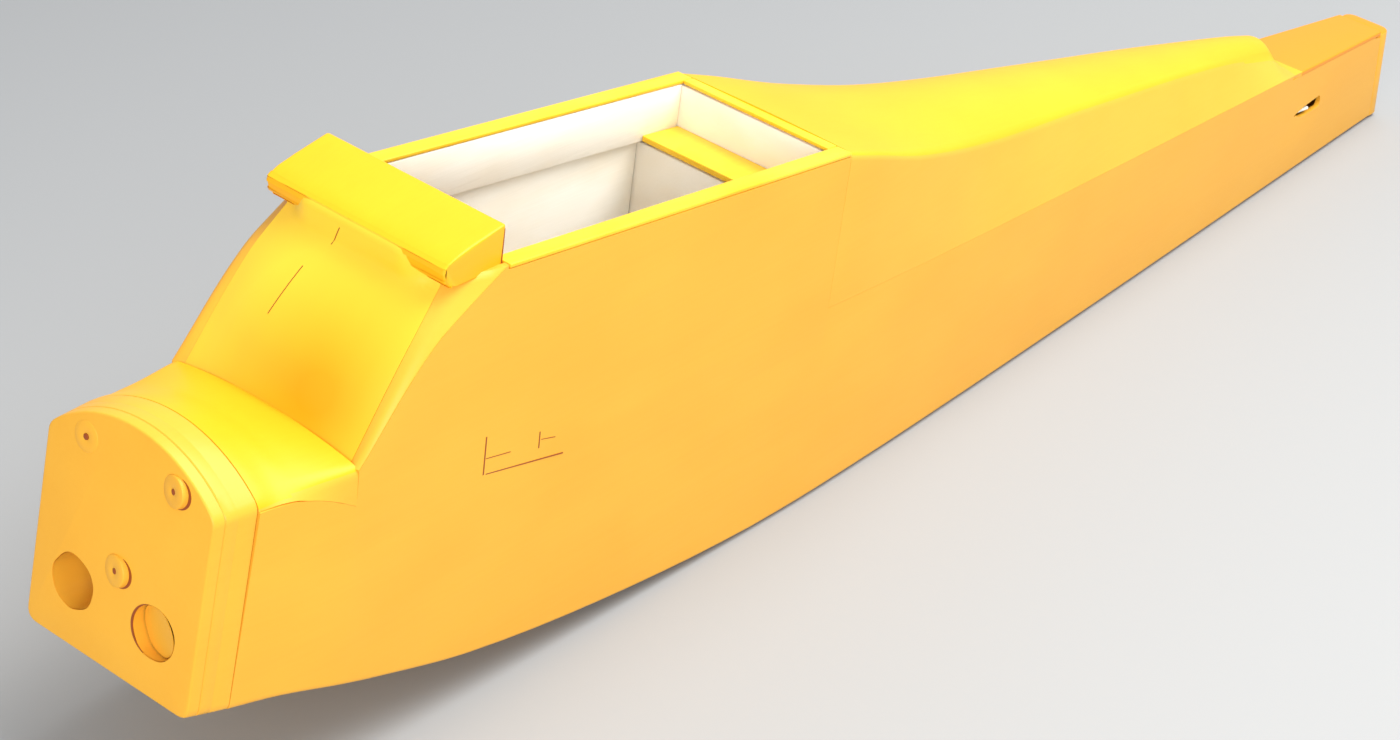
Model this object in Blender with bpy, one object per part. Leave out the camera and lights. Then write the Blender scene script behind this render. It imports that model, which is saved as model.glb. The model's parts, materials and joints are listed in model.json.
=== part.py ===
"""Bare fuselage of a high-wing trainer model aircraft, as an assembly of its sheets, formers and fittings.

Metres. The nose points along -X, +Y is starboard, +Z is up, and Z is 0 on the floor that the rear
belly rests on. Pieces are drawn with X counted from the foot of the firewall, then all of them hang
from an empty that puts the origin half way along.
"""

from math import atan, cos, hypot, pi, sin, tan

import bmesh
import bpy
from mathutils import Matrix, Vector

# ---------------------------------------------------------------- driving dimensions
GAP = 0.0003  # between pieces that touch
SHEET = 0.003  # side, belly and deck sheeting
PLY = 0.004  # formers
FIREWALL_T = 0.006
RING_END = 0.022  # back of the nose ring, from the firewall's face
FOOT_Z = 0.066  # firewall's lower edge
LEAN = atan(0.111)  # firewall stands square to the wing saddle, which is tipped nose up on the floor
DECK_AFT = 0.084  # foot of the windshield
SADDLE_FRONT = 0.1675
SADDLE_REAR = 0.404
SADDLE_END = 0.411  # back edge of the rear saddle cap
RIM_WIDTH = 0.009
CAP_T = 0.002
DOUBLER_DEPTH = 0.028
SHELF_DROP = 0.0245
SHELF_FRONT = 0.377
SHELF_T = 0.004
DECK_END = 0.920  # back of the turtle deck
TAIL_X = 1.069  # tail end at the floor
TAIL_RAKE = 0.2
POST_DEPTH = 0.012
GEAR_PLATE = (0.252, 0.312)
HOLE_Y, HOLE_Z, HOLE_R = 0.0245, 0.0945, 0.0125
BOLTS = {"port": (-0.0265, 0.1605), "starboard": (0.0265, 0.1605), "lower": (0.0, 0.1110)}
BOLT_R, WASHER_R, HEAD_R, SOCKET_R = 0.0020, 0.0070, 0.0042, 0.0020
WASHER_T, HEAD_UP, SOCKET_FLOOR, SHANK_END = 0.0016, 0.0042, 0.0022, 0.016  # from the firewall's face
NUT_FLANGE_R, NUT_FLANGE_T, NUT_BARREL_R, NUT_END = 0.0075, 0.0014, 0.0035, 0.0145
CUT_PAST = 0.01  # how far a cutting shape goes past what it cuts
TANK_FLOOR = (0.034, 0.0755, 0.0785)  # front, underside, top
LINER_T = 0.0025
LONGERON_W, LONGERON_D = 0.006, 0.0095
GEAR_PLATE_T = 0.005
FORMER_FRONT, FORMER_T, FORMER_HEAD = 0.1495, 0.003, 0.2105
REAR_FORMER = 0.379
WINDOW_HALF = 0.036  # half width of the windows in the cabin's formers
FRONT_WINDOW, REAR_WINDOW = (0.096, 0.196), (0.040, 0.135)
SERVO_RAILS = {"front": 0.232, "rear": 0.285}
RAIL_W, RAIL_FOOT, RAIL_TOP = 0.010, 0.058, 0.066
EXIT_SLOT = (0.921, 0.968)  # where the rods leave through the sides
EXIT_BELOW, EXIT_ABOVE = 0.0035, 0.0045
GLASS_TOP = 0.2187
POST_CORNER = 0.006
ROD_R, TUBE_IN, TUBE_OUT = 0.0012, 0.0018, 0.0026
ROD_FRONT, TUBE_FRONT, TUBE_BACK, ROD_BACK = 0.322, 0.345, 0.902, 0.9525
EXIT_Y = 0.0205  # a rod's centre line at its back end
ROD_SIDE = 0.016  # a rod's centre line abreast of the servos
RODS = {"elevator": (1, 0.075, 0.041), "rudder": (-1, 0.094, 0.056)}  # servo side, front and back height
FORMERS = {"former_front_tail": 0.560, "former_mid_tail": 0.720, "former_rear_tail": 0.880}

# outlines along X: (x, value) at the places where each line changes
HALF_WIDTH = [(-0.02, 0.047), (0, 0.049), (0.035, 0.0525), (0.085, 0.056), (0.17, 0.0555),
              (0.404, 0.054), (0.46, 0.0522), (0.52, 0.0493), (1.1, 0.0119)]
BELLY = [(-0.02, 0.0705), (0, FOOT_Z), (0.05, 0.0555), (0.105, 0.0395), (0.165, 0.0235),
         (0.227, 0.0130), (0.300, 0.0048), (0.345, 0.0015), (0.385, 0), (1.1, 0)]
DECK_EDGE = [(-0.02, 0.1575), (0.1, 0.1555)]
DECK_RISE = [(-0.02, 0.021), (0.012, 0.0200), (0.035, 0.0170), (0.084, 0.0055)]
PILLAR = [(0.085, 0.1555), (0.125, 0.199), (0.145, 0.2110), (0.1665, 0.2222)]
RIM = [(0.16, 0.2228), (0.411, 0.1960)]
LONGERON = [(0.40, 0.1123), (1.07, 0.0626)]
FLANK_TOP = [(0.411, 0.1958), (0.434, 0.1880), (0.486, 0.1695), (0.560, 0.1500),
             (0.672, 0.1315), (0.835, 0.1035), (0.920, 0.0820)]
FLANK_INSET = [(0.411, 0.0), (0.434, 0.0005), (0.486, 0.003), (0.560, 0.008), (0.672, 0.011), (0.92, 0.0130)]
CREST = [(0.411, 0.1966), (0.434, 0.1905), (0.500, 0.1735), (0.558, 0.1620), (0.675, 0.1390),
         (0.805, 0.1145), (0.876, 0.1015), (0.920, 0.0905)]
# windshield, by height: half width at its edge, X at its edge, forward bulge on the centre line
GLASS_HALF = [(0.150, 0.0500), (0.199, 0.0480), (0.2187, 0.0450)]
GLASS_EDGE = [(0.150, 0.0815), (0.199, 0.1180), (0.2187, 0.1370)]
GLASS_BULGE = [(0.150, 0.0020), (0.185, 0.0120), (0.2187, 0.0070)]
BLOCK_HALF = 0.0521
BLOCK = [(0.1665, 0.2402), (0.1480, 0.2368), (0.1345, 0.2335), (0.1305, 0.2308), (0.1298, 0.2270),
         (0.1325, 0.2220), (0.1370, 0.2193), (0.1665, 0.2193)]

COLOURS = {
    "film": (0.98, 0.62, 0.07, 0.35), "top_film": (1.0, 0.80, 0.06, 0.30), "ply": (0.80, 0.58, 0.33, 0.7),
    "balsa": (0.86, 0.70, 0.48, 0.8), "white": (0.95, 0.94, 0.90, 0.5), "steel": (0.55, 0.55, 0.56, 0.3),
    "nylon": (0.92, 0.92, 0.90, 0.45),
}


# ---------------------------------------------------------------- helpers
def line(stations):
    """A smooth line through (x, value) stations that never overshoots them."""
    xs = [s[0] for s in stations]
    ys = [s[1] for s in stations]
    rise = [(ys[i + 1] - ys[i]) / (xs[i + 1] - xs[i]) for i in range(len(xs) - 1)]
    slope = [rise[0]]
    for a, b in zip(rise, rise[1:]):
        slope.append(2 * a * b / (a + b) if a * b > 0 else 0.0)
    slope.append(rise[-1])

    def value(x):
        i = max(k for k in range(len(xs) - 1) if k == 0 or xs[k] <= x)
        span = xs[i + 1] - xs[i]
        t = (x - xs[i]) / span
        start = (1 + 2 * t) * (1 - t) ** 2 * ys[i] + t * (1 - t) ** 2 * span * slope[i]
        end = t * t * (3 - 2 * t) * ys[i + 1] + t * t * (t - 1) * span * slope[i + 1]
        return start + end

    return value


half_width, belly, deck_edge, deck_rise = map(line, (HALF_WIDTH, BELLY, DECK_EDGE, DECK_RISE))
rim, longeron, flank_top, flank_inset, crest = map(line, (RIM, LONGERON, FLANK_TOP, FLANK_INSET, CREST))
pillar = line(PILLAR)
glass_half, glass_edge, glass_bulge = map(line, (GLASS_HALF, GLASS_EDGE, GLASS_BULGE))


def spaced(start, end, count):
    """count + 1 evenly spaced numbers from start to end."""
    return [start + (end - start) * i / count for i in range(count + 1)]


def lean_x(offset, z):
    """X of a plane that lies offset behind the firewall's face, at height z."""
    return offset / cos(LEAN) + (z - FOOT_Z) * tan(LEAN)


def material(name):
    made = bpy.data.materials.get(name) or bpy.data.materials.new(name)
    made.use_nodes = True
    red, green, blue, rough = COLOURS[name]
    shader = made.node_tree.nodes["Principled BSDF"]
    shader.inputs["Base Color"].default_value = (red, green, blue, 1)
    shader.inputs["Roughness"].default_value = rough
    shader.inputs["Metallic"].default_value = 1.0 if name == "steel" else 0.0
    return made


def add(name, bm, finish, smooth=False):
    """Turns a bmesh into a named object with its material."""
    bmesh.ops.remove_doubles(bm, verts=bm.verts, dist=1e-6)
    bmesh.ops.recalc_face_normals(bm, faces=bm.faces)
    mesh = bpy.data.meshes.new(name)
    bm.to_mesh(mesh)
    bm.free()
    made = bpy.data.objects.new(name, mesh)
    bpy.context.collection.objects.link(made)
    if finish:
        mesh.materials.append(material(finish))
    if smooth:
        mesh.shade_smooth()
        mesh.set_sharp_from_angle(angle=pi / 6)
    return made


def loft(name, rings, finish, smooth=False):
    """A closed solid through rings of points, each ring with the same number of points."""
    bm = bmesh.new()
    rows = [[bm.verts.new(p) for p in ring] for ring in rings]
    for a, b in zip(rows, rows[1:]):
        for i in range(len(a)):
            j = (i + 1) % len(a)
            bm.faces.new((a[i], a[j], b[j], b[i]))
    bm.faces.new(rows[0])
    bm.faces.new(rows[-1])
    return add(name, bm, finish, smooth)


def box(name, low, high, finish):
    """A plain board between two corners."""
    bm = bmesh.new()
    size = Vector(high) - Vector(low)
    place = Matrix.Translation((Vector(low) + Vector(high)) / 2) @ Matrix.Diagonal((*size, 1))
    bmesh.ops.create_cube(bm, size=1, matrix=place)
    return add(name, bm, finish)


def rod(name, start, end, radius, finish, sides=12):
    """A round bar from start to end."""
    bm = bmesh.new()
    axis = Vector(end) - Vector(start)
    turn = axis.to_track_quat("Z", "Y").to_matrix().to_4x4()
    place = Matrix.Translation((Vector(start) + Vector(end)) / 2) @ turn
    bmesh.ops.create_cone(
        bm, cap_ends=True, segments=sides, radius1=radius, radius2=radius, depth=axis.length, matrix=place
    )
    return add(name, bm, finish, smooth=True)


def change(target, tool, operation):
    """A Boolean between two closed solids; the tool is only a guide."""
    step = target.modifiers.new(tool.name, "BOOLEAN")
    step.object = tool
    step.operation = operation
    step.solver = "EXACT"
    tool.hide_render = True
    tool.display_type = "WIRE"


def band(points, thickness):
    """Closes an open line of (y, z) points into a ring, by adding its inner face thickness inside."""
    inner = []
    for i, (y, z) in enumerate(points):
        before, after = points[max(i - 1, 0)], points[min(i + 1, len(points) - 1)]
        dy, dz = after[0] - before[0], after[1] - before[1]
        length = hypot(dy, dz)
        inner.append((y + dz / length * thickness, max(z - dy / length * thickness, points[0][1])))
    return points + inner[::-1]


def arch(half, low, rise, count):
    """A circular arc of (y, z) points over the centre line, port to starboard."""
    radius = (half * half + rise * rise) / (2 * rise)
    ys = spaced(-half, half, count)
    return [(y, low + rise - radius + (radius * radius - y * y) ** 0.5) for y in ys]


# ---------------------------------------------------------------- nose
def nose_outline(offset, inside=0.0):
    """The nose's outline on a plane parallel to the firewall, as points in space."""
    half = half_width(offset) - inside
    top = arch(half, deck_edge(offset), deck_rise(offset) - inside, 16)
    foot = belly(offset) + inside
    outline = [(-half, foot)] + top + [(half, foot)]
    return [(lean_x(offset, z), y, z) for y, z in outline]


def nose_axis(y, z, near, far):
    """Two points on a line square to the firewall, near and far behind its face."""
    foot = Vector((lean_x(0, z), y, z))
    back = Vector((cos(LEAN), 0, -sin(LEAN)))
    return foot + near * back, foot + far * back


def build_firewall():
    plate = loft("firewall", [nose_outline(0), nose_outline(FIREWALL_T)], "film")
    for side in (-1, 1):
        ends = nose_axis(side * HOLE_Y, HOLE_Z, -CUT_PAST, 2 * CUT_PAST)
        change(plate, rod(f"line_hole_cut_{side}", *ends, HOLE_R, None, 28), "DIFFERENCE")
    for name, (y, z) in BOLTS.items():
        ends = nose_axis(y, z, -CUT_PAST, 2 * CUT_PAST)
        change(plate, rod(f"bolt_hole_cut_{name}", *ends, BOLT_R + GAP + 0.0002, None), "DIFFERENCE")


def build_mount_bolts():
    """A washer, a socket head and a shank in one turned piece, with a blind nut behind the firewall."""
    for name, (y, z) in BOLTS.items():
        bolt = rod(f"mount_bolt_{name}", *nose_axis(y, z, -WASHER_T, -GAP), WASHER_R, "steel", 20)
        head = rod(f"bolt_head_{name}", *nose_axis(y, z, -HEAD_UP, -0.001), HEAD_R, None, 16)
        shank = rod(f"bolt_shank_{name}", *nose_axis(y, z, -0.001, SHANK_END), BOLT_R, None)
        socket = rod(f"bolt_socket_{name}", *nose_axis(y, z, -0.006, -SOCKET_FLOOR), SOCKET_R, None, 6)
        change(bolt, head, "UNION")
        change(bolt, shank, "UNION")
        change(bolt, socket, "DIFFERENCE")
        start = FIREWALL_T + GAP
        nut = rod(f"blind_nut_{name}", *nose_axis(y, z, start, start + NUT_FLANGE_T), NUT_FLANGE_R, "steel", 18)
        barrel = rod(f"nut_barrel_{name}", *nose_axis(y, z, start + 0.001, NUT_END), NUT_BARREL_R, None, 14)
        bore = rod(f"nut_bore_{name}", *nose_axis(y, z, 0.0, 2 * CUT_PAST), BOLT_R + GAP + 0.0001, None)
        change(nut, barrel, "UNION")
        change(nut, bore, "DIFFERENCE")


def build_nose_ring():
    front, back = FIREWALL_T + GAP, RING_END
    ring = loft("nose_ring", [nose_outline(front), nose_outline(back)], "film")
    core = loft("nose_ring_core", [nose_outline(front - CUT_PAST, PLY), nose_outline(back + CUT_PAST, PLY)], None)
    change(ring, core, "DIFFERENCE")


def build_nose_deck():
    rings = []
    front = RING_END + GAP
    for x in spaced(front, DECK_AFT - GAP, 8):
        points = band(arch(half_width(x), deck_edge(x) + GAP, deck_rise(x), 16), SHEET)
        share = max(0.0, 1 - (x - front) / 0.035)
        rings.append([(x + share * (lean_x(0, z)), y, z) for y, z in points])
    loft("nose_deck", rings, "top_film", smooth=True)


def build_tank_floor():
    front, foot, top = TANK_FLOOR
    half = half_width(front + 0.001) - SHEET - GAP - 0.001
    box("tank_floor", (front, -half, foot), (FORMER_FRONT - GAP, half, top), "ply")


# ---------------------------------------------------------------- sides
def side_top(x):
    """Height of a side sheet's upper edge."""
    if x <= DECK_AFT:
        return deck_edge(x)
    if x <= PILLAR[-1][0]:
        return pillar(x)
    if x <= SADDLE_END:
        return rim(x) - CAP_T - GAP
    return longeron(x) - (GAP if x <= DECK_END else SHEET + GAP)


def side_stations():
    """X of a side sheet's sections: close together where its edges curve or step."""
    steps = [PILLAR[-1][0], PILLAR[-1][0] + 0.0004, SADDLE_END, SADDLE_END + 0.0004, DECK_END, DECK_END + 0.0004]
    curved = spaced(0.045, 0.0845, 3) + spaced(0.0885, 0.16, 9) + spaced(0.20, 0.39, 5)
    return sorted(steps + curved + spaced(0.435, 0.90, 9) + spaced(0.95, 1.03, 2))


def build_side(name, side):
    rings = []
    for x in [None] + side_stations() + [None]:
        ring = []
        for depth, upper in ((0, 0), (0, 1), (SHEET, 1), (SHEET, 0)):
            if x is not None:
                place, height = x, side_top(x) if upper else belly(x)
            elif not rings:
                height = deck_edge(0.03) if upper else belly(RING_END)
                place = lean_x(RING_END + GAP, height)
            else:
                height = longeron(TAIL_X) - SHEET - GAP if upper else 0.0
                place = TAIL_X - POST_DEPTH - GAP - TAIL_RAKE * height
            ring.append((place, side * (half_width(place) - depth), height))
        rings.append(ring)
    sheet = loft(f"side_{name}", rings, "film")
    rod_z = next(back for sign, front, back in RODS.values() if sign == -side)
    front, back = EXIT_SLOT
    middle = side * half_width((front + back) / 2)
    low = (front, middle - CUT_PAST, rod_z - EXIT_BELOW)
    high = (back, middle + CUT_PAST, rod_z + EXIT_ABOVE)
    change(sheet, box(f"exit_cut_{name}", low, high, None), "DIFFERENCE")


def strip(name, xs, side, depths, heights, finish):
    """A strip along one side: depths are in from the side's face, heights are functions of x."""
    near, far = depths
    low, high = heights
    rings = []
    for x in xs:
        outer, inner = side * (half_width(x) - near), side * (half_width(x) - far)
        rings.append([(x, outer, low(x)), (x, outer, high(x)), (x, inner, high(x)), (x, inner, low(x))])
    return loft(name, rings, finish)


def build_saddle_side(name, side):
    """The cap, the white doubler and the cabin liner on one side of the wing saddle."""
    along = spaced(SADDLE_FRONT + GAP, SADDLE_END, 6)
    strip(f"saddle_cap_{name}", along, side, (0, RIM_WIDTH), (lambda x: rim(x) - CAP_T, rim), "top_film")
    along = spaced(SADDLE_FRONT + GAP, SADDLE_REAR - GAP, 6)
    foot, head = (lambda x: rim(x) - DOUBLER_DEPTH), (lambda x: rim(x) - CAP_T - GAP)
    strip(f"saddle_doubler_{name}", along, side, (SHEET + GAP, RIM_WIDTH), (foot, head), "white")
    along = spaced(0.1545, SHELF_FRONT + 0.0015, 8)
    foot, head = (lambda x: belly(x) + 0.006), (lambda x: rim(x) - DOUBLER_DEPTH - GAP)
    strip(f"cabin_liner_{name}", along, side, (SHEET + GAP, SHEET + LINER_T), (foot, head), "white")


def build_longeron(name, side):
    along = spaced(SADDLE_END + 0.001, 1.035, 10)
    foot, head = (lambda x: longeron(x) - LONGERON_D), (lambda x: longeron(x) - SHEET - 2 * GAP)
    strip(f"longeron_{name}", along, side, (SHEET + GAP, SHEET + LONGERON_W), (foot, head), "balsa")


# ---------------------------------------------------------------- belly
def belly_board(name, xs, thickness, finish):
    """A board between the side sheets that follows the belly line."""
    rings = []
    for x in xs:
        half, low = half_width(x) - SHEET - GAP, belly(x)
        rings.append([(x, -half, low), (x, half, low), (x, half, low + thickness), (x, -half, low + thickness)])
    return loft(name, rings, finish)


def build_belly():
    plate_front, plate_back = GEAR_PLATE
    belly_board("belly_front", spaced(RING_END + 0.001, plate_front - GAP, 12), SHEET, "film")
    belly_board("gear_plate", spaced(plate_front, plate_back, 4), GEAR_PLATE_T, "ply")
    belly_board("belly_rear", spaced(plate_back + GAP, 1.044, 14), SHEET, "film")


# ---------------------------------------------------------------- cabin
def build_windshield():
    rings = []
    for z in spaced(deck_edge(DECK_AFT) + 0.0065, GLASS_TOP, 8):
        half, edge, bulge = glass_half(z), glass_edge(z), glass_bulge(z)
        front = [(edge - bulge * (1 - (y / half) ** 2), y) for y in spaced(-half, half, 14)]
        back = [(x + SHEET + 0.0008, y) for x, y in front[::-1]]
        rings.append([(x, y, z) for x, y in front + back])
    loft("windshield", rings, "top_film", smooth=True)


def build_post(name, side):
    """The corner post between the windshield and a side sheet's raked edge."""
    rings = []
    slope = [(z, x) for x, z in PILLAR]
    raked = line(slope)
    for z in spaced(0.1575, GLASS_TOP, 8):
        outer = side * (half_width(raked(z)) - SHEET - GAP)
        inner = side * (glass_half(z) + GAP)
        back = raked(z)
        rings.append([(back, outer, z), (glass_edge(z) + 0.002, inner, z),
                      (glass_edge(z) + 0.008, inner, z), (back + 0.006, outer, z)])
    loft(f"windshield_post_{name}", rings, "film")


def build_leading_edge_block():
    ends = [[(x, y, z) for x, z in BLOCK] for y in (-BLOCK_HALF, BLOCK_HALF)]
    loft("leading_edge_block", ends, "top_film", smooth=True)


def windowed(plate, foot, head):
    """Cuts a window through a former, between two heights."""
    xs = [c[0] for c in plate.bound_box]
    low = (min(xs) - CUT_PAST, -WINDOW_HALF, foot)
    cutter = box(f"{plate.name}_window", low, (max(xs) + CUT_PAST, WINDOW_HALF, head), None)
    change(plate, cutter, "DIFFERENCE")


def build_cabin_formers():
    half = half_width(0.15) - SHEET - GAP
    low = (FORMER_FRONT, -half, belly(0.155) + SHEET + 0.004)
    front = box("cabin_front_former", low, (FORMER_FRONT + FORMER_T, half, FORMER_HEAD), "ply")
    windowed(front, *FRONT_WINDOW)
    half = half_width(SHELF_FRONT) - SHEET - GAP
    top = rim(SHELF_FRONT + 0.006) - SHELF_DROP - SHELF_T - 0.0008
    low = (REAR_FORMER, -half, 2 * SHEET)
    rear = box("cabin_rear_former", low, (REAR_FORMER + FORMER_T, half, top), "white")
    windowed(rear, *REAR_WINDOW)


def build_shelf():
    """The board behind the saddle that the wing bolts pass through."""
    rings = []
    for x in (SHELF_FRONT, SADDLE_REAR - GAP):
        half, top = half_width(x) - RIM_WIDTH - GAP, rim(x) - SHELF_DROP
        low = top - SHELF_T + 0.0008
        rings.append([(x, -half, low), (x, half, low), (x, half, top), (x, -half, top)])
    loft("wing_bolt_shelf", rings, "top_film")


def build_saddle_rear():
    rings = []
    half = half_width(SADDLE_REAR) - SHEET - GAP
    top = rim(SADDLE_END) - CAP_T - GAP
    wall = box("saddle_bulkhead", (SADDLE_REAR, -half, 2 * SHEET), (SADDLE_REAR + PLY, half, top), "white")
    windowed(wall, *REAR_WINDOW)
    for x in (SADDLE_REAR, SADDLE_END):
        half = half_width(x) - RIM_WIDTH - GAP
        high, low = rim(x), rim(x) - CAP_T
        rings.append([(x, -half, low), (x, half, low), (x, half, high), (x, -half, high)])
    loft("saddle_cap_rear", rings, "top_film")


def build_servo_rails():
    for name, x in SERVO_RAILS.items():
        half = half_width(x) - SHEET - LINER_T - GAP
        box(f"servo_rail_{name}", (x, -half, RAIL_FOOT), (x + RAIL_W, half, RAIL_TOP), "ply")


# ---------------------------------------------------------------- tail
def build_turtle_deck():
    rings = []
    for x in spaced(SADDLE_END + 0.0008, 0.56, 8) + spaced(0.592, DECK_END, 10):
        half = half_width(x)
        narrow = half - flank_inset(x)
        top = arch(narrow, flank_top(x), crest(x) - flank_top(x), 14)
        points = [(-half, longeron(x))] + top + [(half, longeron(x))]
        rings.append([(x, y, z) for y, z in band(points, SHEET)])
    loft("turtle_deck", rings, "top_film", smooth=True)


def build_stab_seat():
    """The flat seat for the stabiliser; its front end rises to meet the turtle deck's flanks."""
    rings = []
    for x in (DECK_END + 0.0008, 0.935, 0.950, 0.970, 0.990, 1.02, 1.0435):
        half, top = half_width(x), longeron(x)
        share = max(0.0, (0.990 - x) / 0.070)
        ridge, lift = half - 0.013, 0.0086 * share * share
        outline = [(-half, top), (-ridge, top + lift), (ridge, top + lift), (half, top),
                   (half, top - SHEET), (-half, top - SHEET)]
        rings.append([(x, y, z) for y, z in outline])
    loft("stab_seat", rings, "film")


def build_tail_post():
    """A raked post across the tail end, with its back corners rounded."""
    rings = []
    top = longeron(TAIL_X)
    for z in (0, top):
        back = TAIL_X - TAIL_RAKE * z
        front = back - POST_DEPTH
        half = half_width(front)
        corner = POST_CORNER
        turned = [(back - corner + corner * sin(a), half - corner + corner * cos(a)) for a in spaced(0, pi / 2, 4)]
        outline = [(front, half)] + turned + [(x, -y) for x, y in turned[::-1]] + [(front, -half)]
        rings.append([(x, y, z) for x, y in outline])
    loft("tail_post", rings, "film", smooth=True)


def rod_point(name, x):
    """The point on a control rod's straight line at x."""
    sign, front_z, back_z = RODS[name]
    share = (x - ROD_FRONT) / (ROD_BACK - ROD_FRONT)
    return (x, sign * (ROD_SIDE - (ROD_SIDE + EXIT_Y) * share), front_z + (back_z - front_z) * share)


def build_tail_formers():
    for name, x in FORMERS.items():
        half, top = half_width(x) - SHEET - GAP - 0.0004, longeron(x) - 0.0104
        plate = box(name, (x, -half, SHEET + GAP), (x + SHEET, half, top), "ply")
        for rod_name in RODS:
            ends = rod_point(rod_name, x - 0.02), rod_point(rod_name, x + 0.02)
            change(plate, rod(f"{name}_{rod_name}_hole", *ends, TUBE_OUT + 0.0005, None, 12), "DIFFERENCE")


def build_control_rods():
    """Each rod slides in its guide tube; its object's origin is on the rod's own axis."""
    for name in RODS:
        ends = rod_point(name, TUBE_FRONT), rod_point(name, TUBE_BACK)
        tube = rod(f"guide_tube_{name}", *ends, TUBE_OUT, "nylon")
        ends = rod_point(name, TUBE_FRONT - 0.01), rod_point(name, TUBE_BACK + 0.01)
        change(tube, rod(f"tube_bore_{name}", *ends, TUBE_IN, None), "DIFFERENCE")
        inner = rod(f"control_rod_{name}", rod_point(name, ROD_FRONT), rod_point(name, ROD_BACK), ROD_R, "nylon", 10)
        start = Vector(rod_point(name, ROD_FRONT))
        inner.data.transform(Matrix.Translation(-start))
        inner.location = start


def main():
    for old in list(bpy.data.objects):
        bpy.data.objects.remove(old)
    build_firewall()
    build_mount_bolts()
    build_nose_ring()
    build_nose_deck()
    build_tank_floor()
    for name, side in (("port", -1), ("starboard", 1)):
        build_side(name, side)
        build_saddle_side(name, side)
        build_longeron(name, side)
        build_post(name, side)
    build_belly()
    build_windshield()
    build_leading_edge_block()
    build_cabin_formers()
    build_shelf()
    build_saddle_rear()
    build_servo_rails()
    build_turtle_deck()
    build_stab_seat()
    build_tail_post()
    build_tail_formers()
    build_control_rods()
    middle = bpy.data.objects.new("airframe_origin", None)
    bpy.context.collection.objects.link(middle)
    for piece in list(bpy.data.objects):
        if piece != middle:
            piece.parent = middle
    middle.location.x = -TAIL_X / 2


main()
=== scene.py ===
"""Film-covered fuselage of a high-wing trainer model aircraft: skins, linings and fittings around the frame.

Metres. The nose points along -X, +Y is starboard and +Z is up. Outlines are drawn with X counted from
the foot of the firewall, as the frame's sheets are, and every finished piece has its place in its mesh.
"""

import json
import math

import bmesh
import bpy
from mathutils import Euler, Matrix, Vector, noise


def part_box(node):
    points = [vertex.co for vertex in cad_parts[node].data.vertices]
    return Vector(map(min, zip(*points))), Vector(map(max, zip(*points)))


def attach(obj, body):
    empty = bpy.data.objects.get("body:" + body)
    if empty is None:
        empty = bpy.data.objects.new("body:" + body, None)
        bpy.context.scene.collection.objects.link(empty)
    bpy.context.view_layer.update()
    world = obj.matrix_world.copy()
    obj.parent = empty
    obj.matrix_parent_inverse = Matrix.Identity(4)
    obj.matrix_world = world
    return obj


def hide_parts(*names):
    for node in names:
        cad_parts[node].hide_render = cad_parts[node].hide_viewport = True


bl_info = {
    "name": "Trainer Fuselage",
    "version": (1, 0, 0),
    "blender": (4, 5, 0),
    "location": "3D View > Sidebar > Fuselage",
    "description": "Builds the covered skins, linings, fittings and studio around a packed fuselage frame",
    "category": "Object",
}

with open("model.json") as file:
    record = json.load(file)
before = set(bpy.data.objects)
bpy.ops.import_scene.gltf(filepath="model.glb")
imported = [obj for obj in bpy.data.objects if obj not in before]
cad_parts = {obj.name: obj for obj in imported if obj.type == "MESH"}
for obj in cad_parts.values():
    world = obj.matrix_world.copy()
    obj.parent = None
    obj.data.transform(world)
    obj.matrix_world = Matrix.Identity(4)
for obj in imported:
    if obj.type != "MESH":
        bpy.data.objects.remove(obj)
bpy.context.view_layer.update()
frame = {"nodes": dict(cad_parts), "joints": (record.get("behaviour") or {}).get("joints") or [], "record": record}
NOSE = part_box("firewall")[0].x  # the foot of the firewall
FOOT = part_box("firewall")[0].z
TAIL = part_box("tail_post")[1].x - NOSE

# ---------------------------------------------------------------- outlines, as (x, value) stations
HALF_WIDTH = [(-0.02, 0.047), (0, 0.049), (0.035, 0.0525), (0.085, 0.056), (0.17, 0.0555),
              (0.404, 0.054), (0.46, 0.0522), (0.52, 0.0493), (1.1, 0.0119)]
BELLY = [(-0.02, 0.0705), (0, FOOT), (0.05, 0.0555), (0.105, 0.0395), (0.165, 0.0235),
         (0.227, 0.0130), (0.300, 0.0048), (0.345, 0.0015), (0.385, 0), (1.1, 0)]
DECK_EDGE = [(-0.02, 0.1575), (0.1, 0.1555)]
DECK_RISE = [(-0.02, 0.021), (0.012, 0.0200), (0.035, 0.0170), (0.084, 0.0055)]
CHEEK_LOW = [
    (0.0, 0.1545), (0.0335, 0.1543), (0.0475, 0.1532), (0.059, 0.1502), (0.0715, 0.1448), (0.0845, 0.1372)
]
CHEEK_TUCK = [(0.0, 0.0), (0.0225, 0.0002), (0.042, 0.0028), (0.056, 0.0028), (0.0845, 0.0002)]
PILLAR = [(0.085, 0.1555), (0.125, 0.199), (0.145, 0.2110), (0.1665, 0.2222)]
RIM = [(0.16, 0.2228), (0.411, 0.1960)]
LONGERON = [(0.40, 0.1123), (1.07, 0.0626)]
FLANK_TOP = [(0.411, 0.1958), (0.434, 0.1880), (0.486, 0.1695), (0.560, 0.1500),
             (0.672, 0.1315), (0.835, 0.1035), (0.920, 0.0820)]
FLANK_INSET = [(0.411, 0.0), (0.434, 0.0005), (0.486, 0.003), (0.560, 0.008), (0.672, 0.011), (0.92, 0.0130)]
CREST = [(0.411, 0.1966), (0.434, 0.1905), (0.500, 0.1735), (0.558, 0.1620), (0.675, 0.1390),
         (0.805, 0.1145), (0.876, 0.1015), (0.920, 0.0905)]
GLASS_HALF = [(0.150, 0.0500), (0.199, 0.0480), (0.2187, 0.0450)]
GLASS_EDGE = [(0.150, 0.0815), (0.199, 0.1180), (0.2187, 0.1370)]
GLASS_BULGE = [(0.150, 0.0020), (0.185, 0.0120), (0.2187, 0.0070)]

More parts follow.
